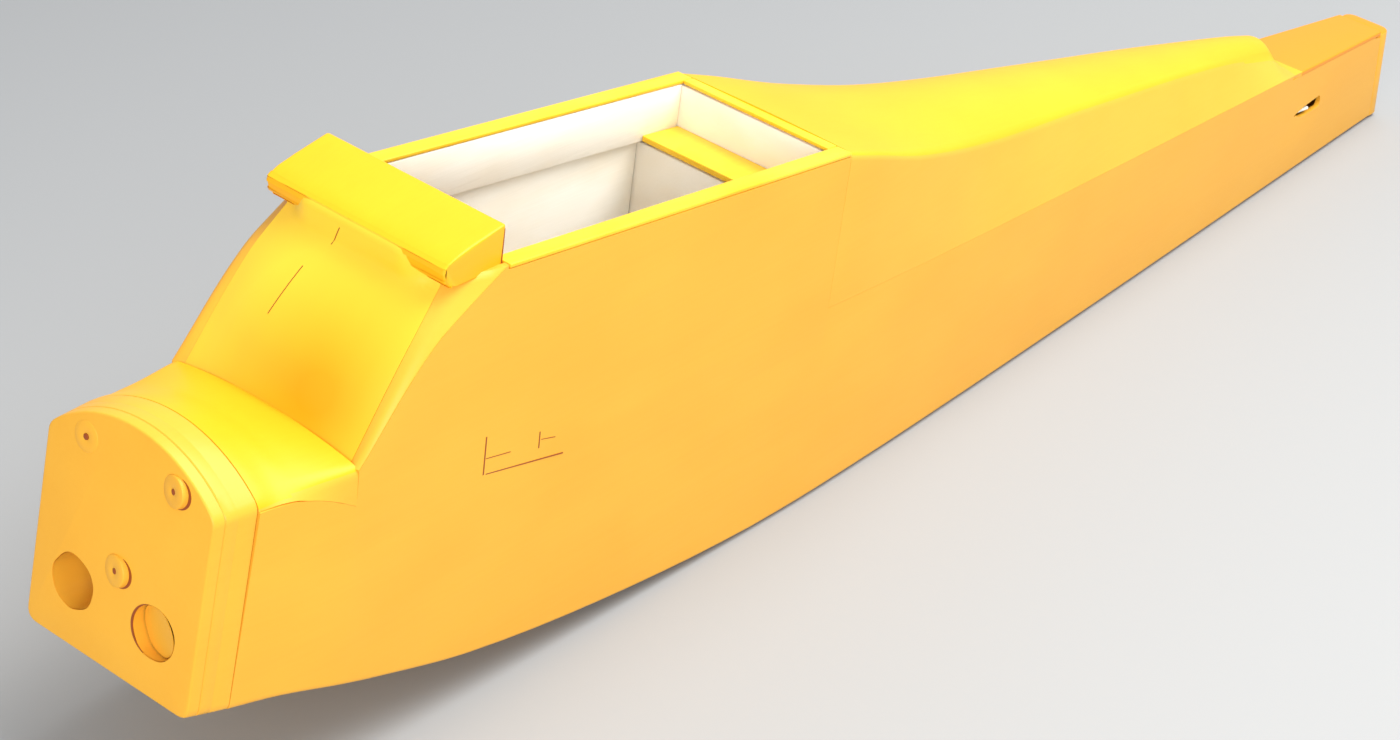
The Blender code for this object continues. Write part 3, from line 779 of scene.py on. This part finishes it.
class BuildSides(bpy.types.Operator):
    """Builds the two covered side skins with the slots that the control rods leave by"""

    bl_idname = "fuselage.sides"
    bl_label = "Sides"

    def execute(self, context):
        keel = context.scene.fuselage_sizes.keel_round / KEEL_ROUND
        for name, side in (("port", -1), ("starboard", 1)):
            rings = []
            stations = [None] + side_stations() + [None]
            for n, x in enumerate(stations):
                foot = SIDE_FOOT(0.02 if n == 0 else (x or 1.05)) * keel
                ring = []
                shape = [(0.0, "low"), (0.0, "high"), (SHEET, "high"), (max(SHEET, foot) + 0.0002, "low")]
                places = []
                for depth, level in shape:
                    if x is not None:
                        place, height = x, side_top(x) if level == "high" else belly(x)
                    elif n == 0:
                        height = cheek_low(0.03) - HAIR if level == "high" else belly(RING_END)
                        place = lean_x(RING_END + 0.0003, height)
                    else:
                        height = longeron(TAIL) - SHEET - HAIR if level == "high" else 0.0
                        place = TAIL - 0.0122 - TAIL_RAKE * height
                    places.append((place, half_width(place) - depth, height))
                flat = filleted([(p[1], p[2]) for p in places], {0: foot}, 4)
                for y, z in flat:
                    nearest = min(places, key=lambda p: abs(p[2] - z))
                    ring.append(Vector((nearest[0], side * y, z)))
                rings.append(ring)
            skin = finish_piece(
                f"side_{name}_covered", sections_mesh(rings, True), "film", replaces=[f"side_{name}"],
                smooth=35
            )
            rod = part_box("control_rod_elevator" if side < 0 else "control_rod_rudder")
            exit_z = rod[0].z + ROD_R
            outline = [
                (0.931, 0.0012), (0.944, -0.0030), (0.967, -0.0036), (0.9685, 0.0), (0.966, 0.0046),
                (0.945, 0.0036)
            ]
            outline = filleted(outline, {k: 0.0016 for k in range(len(outline))}, 4)
            reach = [[Vector((NOSE + x, side * y, exit_z + z)) for x, z in outline] for y in (0.010, 0.040)]
            slot = sections_mesh(reach, True)
            cut(skin, slot)
            skin.data.shade_smooth()
            skin.data.set_sharp_from_angle(angle=math.radians(35))
        return {"FINISHED"}


class BuildBelly(bpy.types.Operator):
    """Builds the covered belly skins and the plywood gear plate between them"""

    bl_idname = "fuselage.belly"
    bl_label = "Belly"

    def execute(self, context):
        plate = [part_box("gear_plate")[k].x - NOSE for k in (0, 1)]
        runs = {
            "belly_front": (RING_END + 0.001, plate[0] - 0.0002, 24),
            "belly_rear": (plate[1] + 0.0002, 1.0440, 40)
        }
        keel = context.scene.fuselage_sizes.keel_round / KEEL_ROUND
        for name, (start, end, count) in runs.items():
            rings = []
            for x in spaced(start, end, count):
                half = half_width(x) - max(SHEET, SIDE_FOOT(x) * keel) - 0.0003
                low = belly(x)
                corners = [(-half, low), (half, low), (half, low + SHEET), (-half, low + SHEET)]
                rings.append([Vector((x, y, z)) for y, z in corners])
            finish_piece(f"{name}_covered", sections_mesh(rings, True), "film", replaces=[name], smooth=35)
        ease_width = context.scene.fuselage_sizes.board_ease
        finish_piece(
            "gear_plate_board", board_from("gear_plate", ease_width), "plywood", replaces=["gear_plate"],
            move=False
        )
        return {"FINISHED"}


class BuildTurtleDeck(bpy.types.Operator):
    """Builds the turtle deck behind the wing saddle, which runs down to the stabiliser seat"""

    bl_idname = "fuselage.turtle_deck"
    bl_label = "Turtle deck"

    def execute(self, context):
        rings = []
        stations = spaced(SADDLE_END + 0.0002, 0.56, 24) + spaced(0.575, 0.890, 26)
        for x in stations + spaced(DECK_FALL[0], DECK_FALL[1], 14):
            half, low = half_width(x), longeron(x)
            fall = ease(*DECK_FALL, x)
            edge = flank_top(x) * (1 - fall) + low * fall
            rise = max(0.00002, (crest(x) - flank_top(x)) * (1 - fall))
            top = deck_arch(half - flank_inset(x), edge, rise, ARCH_STEPS)
            outline = filleted([(-half, low)] + top + [(half, low)], {1: 0.0040, len(top): 0.0040})
            rings.append([Vector((x, y, z)) for y, z in outline])
        bm = sections_mesh(rings, False)
        wall(bm, context.scene.fuselage_sizes.deck_wall)
        deck = finish_piece("turtle_deck_covered", bm, "top_film", replaces=["turtle_deck"], smooth=40)
        shaded_side_film_below(
            deck, lambda x: flank_top(x) + (longeron(x) - flank_top(x)) * ease(*DECK_FALL, x) - 0.0015
        )
        return {"FINISHED"}


class BuildTail(bpy.types.Operator):
    """Builds the stabiliser seat and the tail post"""

    bl_idname = "fuselage.tail"
    bl_label = "Stabiliser seat and tail post"

    def execute(self, context):
        rings = []
        for x in spaced(DECK_FALL[1] + 0.0001, 1.0435, 16):
            half, top = half_width(x), longeron(x)
            corners = [(-half, top), (half, top), (half, top - SHEET), (-half, top - SHEET)]
            outline = filleted(corners, {0: 0.0012, 1: 0.0012}, 4)
            rings.append([Vector((x, y, z)) for y, z in outline])
        seat = finish_piece(
            "stab_seat_covered", sections_mesh(rings, True), "film", replaces=["stab_seat"], smooth=35
        )
        c = context.scene.fuselage_colours
        # The seat's film is darker: painted shade on the seat.
        seat.data.materials[0] = covering_film("polyester_film_painted_seat_shade", c.seat_shade_film, c.seat_shade_film)
        bm = board_from("tail_post", 0.0012, 3)
        post = finish_piece("tail_post_covered", bm, "film", replaces=["tail_post"], move=False)
        # The tail post's upward faces take the seat's darker film: painted shade on its top.
        post.data.materials.append(seat.data.materials[0])
        for face in post.data.polygons:
            if face.normal.z > 0.7:
                face.material_index = 1
        return {"FINISHED"}


# ---------------------------------------------------------------- cabin
GLASS_TOP = 0.2187
DRAPE_TOP = 0.2312  # where the windshield's film ends on the block's front, about the centre line


def drape(y):
    """How far the windshield's film is drawn up onto the block: 1 in the middle, 0 outside."""
    return 1 - ease(0.026, 0.042, abs(y))


def glass_point(y, z):
    """A point on the windshield's film."""
    low = min(z, GLASS_TOP)
    x = glass_edge(low) - glass_bulge(low) * (1 - (y / glass_half(low)) ** 2) + (z - low) * 0.1
    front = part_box("leading_edge_block")[0].x - NOSE
    drawn = front - 0.0006 + 0.0020 * ease(DRAPE_TOP - 0.0022, DRAPE_TOP, z)
    share = drape(y) * ease(0.210, 0.2225, z)
    return Vector((x + (drawn - x) * share, y, z))


class BuildWindshield(bpy.types.Operator):
    """Builds the stretched windshield skin and its two corner strips"""

    bl_idname = "fuselage.windshield"
    bl_label = "Windshield"

    def execute(self, context):
        base_half = half_width(DECK_AFT) - cheek_tuck(DECK_AFT)
        base_rise = deck_rise(DECK_AFT)
        rows, columns = 34, 36
        rings = []
        for v in spaced(0, 1, rows):
            ring = []
            for s in spaced(-1, 1, columns):
                foot = deck_edge(DECK_AFT) + base_rise * (1 - s * s) - 0.0006
                top = 0.2222 + (DRAPE_TOP - 0.2222) * drape(s * glass_half(GLASS_TOP))
                z = foot + (top - foot) * v
                ring.append(glass_point(s * min(glass_half(min(z, GLASS_TOP)), base_half - 0.006), z))
            rings.append(ring)
        bm = sections_mesh(rings, False)
        wall(bm, 0.0008)
        glass = finish_piece("windshield_covered", bm, "top_film", replaces=["windshield"], smooth=50)
        c = context.scene.fuselage_colours
        # The deeper colour is centred low and to port: painted shade on the windshield's port part, on top of the
        # thin film's own colour.
        glass.data.materials[0] = open_film_and_shade(
            "polyester_film_over_open_bay_and_painted_shade", c.lit_shelf_film, c.open_film_and_shade, (NOSE + 0.095, -0.022, 0.172), (
                0.075, 0.060, 0.062
            )
        )
        for name, side in (("port", -1), ("starboard", 1)):
            rings = []
            for v in spaced(0, 1, 20):
                z = 0.1550 + (0.2216 - 0.1550) * v
                back = raked(z)
                outer = Vector((back - 0.0004, side * (half_width(back) - 0.0001), z))
                inner = Vector((glass_edge(z) + 0.0003, side * min(glass_half(z), base_half - 0.006), z))
                lift = Vector((-0.0012, side * 0.0008, 0))
                ring = [outer, outer * 0.66 + inner * 0.34 + lift, outer * 0.33 + inner * 0.67 + lift, inner]
                ring += [inner + Vector((0.0030, 0, 0)), outer + Vector((0.0030, -side * 0.0026, 0))]
                rings.append(ring)
            bm = sections_mesh(rings, True)
            node = f"windshield_post_{name}"
            finish_piece(f"{node}_covered", bm, "film", replaces=[node], smooth=60)
        return {"FINISHED"}


class BuildLeadingEdgeBlock(bpy.types.Operator):
    """Builds the block at the front of the wing saddle, with film gathered round its ends"""

    bl_idname = "fuselage.leading_edge_block"
    bl_label = "Leading edge block"

    def execute(self, context):
        low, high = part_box("leading_edge_block")
        back, front, head, foot = high.x - NOSE, low.x - NOSE, high.z, low.z
        outline = [
            (back, head), (back - 0.0185, head - 0.0034), (back - 0.0320, head - 0.0067), (
                front + 0.0007, head - 0.0094
            ),
            (front, head - 0.0132), (front + 0.0027, foot + 0.0027), (front + 0.0072, foot), (back, foot),
        ]
        rounds = {0: 0.0012, 1: 0.006, 2: 0.005, 3: 0.0022, 4: 0.0035, 5: 0.003, 6: 0.0025, 7: 0.0008}
        outline = filleted(outline, rounds, 4)
        middle = Vector(((front + back) / 2, (foot + head) / 2))
        rings = []
        reach = high.y
        turn_in = 0.0012
        ends = [reach - turn_in * (1 - math.cos(a)) for a in spaced(0, math.pi / 2, 4)]
        ys = [-y for y in ends] + spaced(-reach + 2 * turn_in, reach - 2 * turn_in, 70) + ends[::-1]
        for y in ys:
            short = max(0.0, abs(y) - (reach - turn_in)) / turn_in
            pull = turn_in * (1 - math.sqrt(max(0.0, 1 - short * short)))
            ring = []
            for point in outline:
                inward = middle - Vector(point)
                placed = Vector(point) + inward.normalized() * pull
                ring.append(Vector((placed.x, y, placed.y)))
            rings.append(ring)
        bm = sections_mesh(rings, True)
        bm.normal_update()
        depth = context.scene.fuselage_sizes.wrinkle
        for vert in bm.verts:
            gather = 0.15 + 0.85 * ease(0.030, 0.050, abs(vert.co.y)) * ease(head, foot, vert.co.z)
            ripple = noise.noise(Vector((vert.co.x * 240, vert.co.y * 90, vert.co.z * 300)))
            vert.co -= vert.normal * depth * gather * (0.5 + 0.5 * ripple)
        finish_piece("leading_edge_block_covered", bm, "top_film", replaces=["leading_edge_block"], smooth=50)
        return {"FINISHED"}


class BuildSaddle(bpy.types.Operator):
    """Builds the wing saddle's caps, its white lining and the shelf for the wing bolts"""

    bl_idname = "fuselage.saddle"
    bl_label = "Wing saddle"

    def execute(self, context):
        sizes = context.scene.fuselage_sizes
        for node in ("saddle_cap_port", "saddle_cap_starboard", "saddle_cap_rear"):
            finish_piece(
                f"{node}_covered", board_from(node, sizes.rim_ease, 3), "top_film", replaces=[node],
                move=False
            )
        for node in (
            "saddle_doubler_port", "saddle_doubler_starboard", "saddle_bulkhead", "cabin_rear_former"
        ):
            finish_piece(
                f"{node}_painted", board_from(node, sizes.board_ease), "white_interior", replaces=[node],
                move=False
            )
        for node in ("cabin_liner_port", "cabin_liner_starboard"):
            finish_piece(
                f"{node}_sheet", board_from(node, sizes.board_ease), "white_interior", replaces=[node],
                move=False
            )
        shelf = board_from("wing_bolt_shelf", sizes.rim_ease, 3)
        made = finish_piece(
            "wing_bolt_shelf_covered", shelf, "top_film", replaces=["wing_bolt_shelf"], move=False
        )
        # The shelf and the saddle's caps take a lighter film: painted light where shade falls inside the saddle.
        c = context.scene.fuselage_colours
        made.data.materials[0] = covering_film("polyester_film_painted_light_copy", c.lit_shelf_film, c.top_film)
        for side in ("port", "starboard", "rear"):
            bpy.data.objects[f"saddle_cap_{side}_covered"].data.materials[0] = made.data.materials[0]
        return {"FINISHED"}


class BuildBoards(bpy.types.Operator):
    """Builds the formers, rails, tank floor and longerons inside the skins"""

    bl_idname = "fuselage.boards"
    bl_label = "Inner boards"

    def execute(self, context):
        ease_width = context.scene.fuselage_sizes.board_ease
        boards = {
            "plywood": ["tank_floor", "cabin_front_former", "servo_rail_front", "servo_rail_rear",
                        "former_front_tail", "former_mid_tail", "former_rear_tail"],
            "balsa": ["longeron_port", "longeron_starboard"],
        }
        for slot, nodes in boards.items():
            for node in nodes:
                finish_piece(f"{node}_board", board_from(node, ease_width), slot, replaces=[node], move=False)
        return {"FINISHED"}


class BuildControlRods(bpy.types.Operator):
    """Builds the two sliding control rods and their guide tubes"""

    bl_idname = "fuselage.control_rods"
    bl_label = "Control rods"

    def execute(self, context):
        for name in ("elevator", "rudder"):
            joint = next(j for j in frame["joints"] if j["child"] == f"{name}_rod")
            axis = Vector(joint["axis"]).normalized()
            for node, body, outer, inner in (
                (f"control_rod_{name}", f"{name}_rod", ROD_R, 0.0),
                (f"guide_tube_{name}", "airframe", TUBE_OUT, TUBE_IN),
            ):
                low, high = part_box(node)
                half = (high.x - low.x - 2 * outer * abs(axis.y)) / 2 / abs(axis.x)
                soft = 0.0004
                if inner:
                    profile = [(inner, -half), (outer - soft, -half), (outer, soft - half), (
                        outer, half - soft
                    ),
                               (outer - soft, half), (inner, half), (inner, -half)]
                else:
                    profile = [(0, -half), (outer - soft, -half), (outer, soft - half), (outer, half - soft),
                               (outer - soft, half), (0, half)]
                turn = axis.to_track_quat("Z", "Y").to_matrix().to_4x4()
                place = Matrix.Translation((low + high) / 2) @ turn
                finish_piece(f"{node}_drawn", turned(profile, place, 28), "nylon", body, [node], move=False)
        return {"FINISHED"}


class BuildCreases(bpy.types.Operator):
    """Builds painted shade lines in the film: strips along creases on the port side and the windshield, arcs
    beside two washers and the port line hole, dots over the screw sockets, and the seam behind the leading edge
    block.
    """

    bl_idname = "fuselage.creases"
    bl_label = "Painted crease shade"

    def execute(self, context):
        width = context.scene.fuselage_sizes.seam
        # Painted shade: thin dark strips where the port side's film creases.
        side_lines = [
            ((0.1630, 0.1390), (0.1632, 0.1195), 1.0), ((0.1632, 0.1195), (0.2165, 0.1090), 0.8),
            ((0.1640, 0.1275), (0.1800, 0.1245), 0.5), ((0.1990, 0.1270), (0.1992, 0.1185), 0.9),
            ((0.2005, 0.1225), (0.2100, 0.1200), 0.45),
        ]
        bm = bmesh.new()
        for start, end, share in side_lines:
            run = Vector(end) - Vector(start)
            middle = (Vector(start) + Vector(end)) / 2
            turn = Matrix.Rotation(-math.atan2(run.y, run.x), 4, "Y")
            place = Matrix.Translation((middle.x, -half_width(middle.x), middle.y)) @ turn
            place = place @ Matrix.Diagonal((run.length, 0.0003, width * share, 1))
            bmesh.ops.create_cube(bm, size=1, matrix=place)
        creases = finish_piece("side_port_crease_shade", bm, "film")
        dark = painted_shade_line("painted_crease_shade", context.scene.fuselage_colours.crease)
        creases.data.materials[0] = dark
        hole_y, hole_z = line_holes()[0]
        arcs = [(f"mount_{side}", *bolt_centre(side), 0.0072, -160, 0.0014) for side in ("port", "lower")]
        arcs.append(("line_hole_port", hole_y, hole_z, 0.0121, 20, 0.0011))
        for name, y, z, radius, start, broad in arcs:
            place = nose_axis_place(y, z)
            sections = []
            for t in spaced(0, 1, 24):
                a = math.radians(start + 140 * t)
                thick = 0.0001 + broad * math.sin(math.pi * t)
                corners = [
                    (radius, 0.00012), (radius + thick, 0.00012), (radius + thick, -0.0002), (radius, -0.0002)
                ]
                sections.append([place @ Vector((r * math.cos(a), r * math.sin(a), up)) for r, up in corners])
            bm = sections_mesh(sections, True)
            finish_piece(f"{name}_shadow_line", bm, "film").data.materials[0] = dark
        # Painted shade: a dark dot over each mount screw stands for the shade in its socket.
        for side in ("port", "starboard", "lower"):
            dot = [(0, 0.0004), (0.0010, 0.0004), (0.0014, 0.0002), (0.0015, -0.0004), (0, -0.0004)]
            place = nose_axis_place(*bolt_centre(side)) @ Matrix.Translation((0, 0, 0.0010))
            if side == "starboard":
                place = place @ Matrix.Translation((0, 0, -0.0008))
            bm = turned(dot, place, 20)
            finish_piece(f"mount_{side}_socket_shade", bm, "film").data.materials[0] = dark
        low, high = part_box("leading_edge_block")
        bm = bmesh.new()
        size = Vector((0.0006, 0.0007, high.z - low.z - 0.0040))
        middle = Vector((high.x - NOSE - 0.0006, low.y + 0.0004, (high.z + low.z) / 2))
        bmesh.ops.create_cube(bm, size=1, matrix=Matrix.Translation(middle) @ Matrix.Diagonal((*size, 1)))
        ease_edges(bm, bm.edges, 0.0002, 2)
        finish_piece("leading_edge_block_seam", bm, "top_film").data.materials[0] = dark
        bm = bmesh.new()
        for start, end in (((0.1900, 0.0168), (0.2075, 0.0152)), ((0.2163, 0.0100), (0.2255, 0.0066))):
            points = []
            for t in spaced(0, 1, 8):
                z = start[0] + (end[0] - start[0]) * t
                y = start[1] + (end[1] - start[1]) * t
                points.append(glass_point(y, z))
            for a, b in zip(points, points[1:]):
                run = b - a
                place = Matrix.Translation((a + b) / 2) @ run.to_track_quat("Z", "Y").to_matrix().to_4x4()
                place = place @ Matrix.Diagonal((width * 0.5, width * 0.5, run.length, 1))
                bmesh.ops.create_cube(bm, size=1, matrix=place)
        finish_piece("windshield_crease_shade", bm, "top_film").data.materials[0] = dark
        return {"FINISHED"}


# ---------------------------------------------------------------- studio
FLOOR_HALF, FLOOR_Z = 6.0, -0.0016
OVERHEAD_PLACE, OVERHEAD_AIM, OVERHEAD_SIZE = (0.38, -0.42, 1.80), (0.0, 0.0, 0.1), (1.6, 1.5)
FILL_PLACE, FILL_AIM, FILL_SIZE = (-2.2, -1.4, 0.95), (-0.1, 0.0, 0.1), (1.5, 1.3)


def area_light(name, place, aim, size, power):
    """A white softbox at a place, aimed at a point."""
    data = bpy.data.lights.new(name, "AREA")
    data.shape = "RECTANGLE"
    data.size, data.size_y = size
    data.energy = power
    lamp = bpy.data.objects.new(name, data)
    lamp.location = place
    lamp.rotation_euler = (Vector(aim) - Vector(place)).to_track_quat("-Z", "Y").to_euler()
    bpy.context.scene.collection.objects.link(lamp)


class BuildStage(bpy.types.Operator):
    """Builds the floor, the soft lights and the camera"""

    bl_idname = "fuselage.stage"
    bl_label = "Studio"

    def execute(self, context):
        scene, studio = context.scene, context.scene.fuselage_studio
        bm = bmesh.new()
        bmesh.ops.create_grid(bm, x_segments=4, y_segments=4, size=FLOOR_HALF)
        bmesh.ops.translate(bm, verts=bm.verts, vec=(0, 0, FLOOR_Z))
        mesh = bpy.data.meshes.new("studio_floor")
        bm.to_mesh(mesh)
        bm.free()
        floor = bpy.data.objects.new("studio_floor", mesh)
        mesh.materials.append(
            seamless_paper("seamless_paper", scene.fuselage_colours.floor, scene.fuselage_colours.floor_shade)
        )
        scene.collection.objects.link(floor)
        area_light("overhead_softbox", OVERHEAD_PLACE, OVERHEAD_AIM, OVERHEAD_SIZE, studio.key_power)
        area_light("camera_fill", FILL_PLACE, FILL_AIM, FILL_SIZE, studio.fill_power)
        world = bpy.data.worlds.new("studio_air")
        world.use_nodes = True
        air = world.node_tree.nodes["Background"]
        air.inputs["Color"].default_value = to_linear("#F4F6F8")
        air.inputs["Strength"].default_value = studio.ambient
        scene.world = world
        scene.view_settings.view_transform = "Standard"
        data = bpy.data.cameras.new("studio_camera")
        data.lens = studio.lens
        data.sensor_width = 36
        data.clip_end = 50
        camera = bpy.data.objects.new("studio_camera", data)
        camera.location = (studio.camera_x, studio.camera_y, studio.camera_z)
        straight = Euler((math.pi / 2 - studio.tilt, 0, studio.heading - math.pi / 2)).to_matrix()
        camera.rotation_euler = (straight @ Matrix.Rotation(studio.roll, 3, "Z")).to_euler()
        scene.collection.objects.link(camera)
        scene.camera = camera
        return {"FINISHED"}


class FuselagePanel(bpy.types.Panel):
    """Lists the sizes, colours and steps"""

    bl_label = "Trainer Fuselage"
    bl_idname = "VIEW3D_PT_fuselage"
    bl_space_type = "VIEW_3D"
    bl_region_type = "UI"
    bl_category = "Fuselage"

    def draw(self, context):
        for group in ("fuselage_sizes", "fuselage_colours", "fuselage_studio"):
            settings = getattr(context.scene, group)
            box = self.layout.box()
            for key in settings.bl_rna.properties.keys():
                if key not in ("rna_type", "name"):
                    box.prop(settings, key)
        for step in BUILDERS:
            self.layout.operator(step.bl_idname)


GROUPS = {
    "fuselage_sizes": FuselageSizes,
    "fuselage_colours": FuselageColours,
    "fuselage_studio": FuselageStudio,
}
BUILDERS = (
    BuildFirewall, BuildNoseRing, BuildNoseDeck, BuildMountBolts, BuildSides, BuildBelly, BuildTurtleDeck,
    BuildTail, BuildWindshield, BuildLeadingEdgeBlock, BuildSaddle, BuildBoards, BuildControlRods,
    BuildCreases, BuildStage,
)


def register():
    for group in GROUPS.values():
        bpy.utils.register_class(group)
    for step in (*BUILDERS, FuselagePanel):
        bpy.utils.register_class(step)
    for key, group in GROUPS.items():
        setattr(bpy.types.Scene, key, bpy.props.PointerProperty(type=group))


def unregister():
    for key in GROUPS:
        delattr(bpy.types.Scene, key)
    for step in (FuselagePanel, *reversed(BUILDERS)):
        bpy.utils.unregister_class(step)
    for group in GROUPS.values():
        bpy.utils.unregister_class(group)


def main():
    register()
    for step in BUILDERS:
        getattr(bpy.ops.fuselage, step.bl_idname.split(".")[1])()


if __name__ == "__main__":
    main()
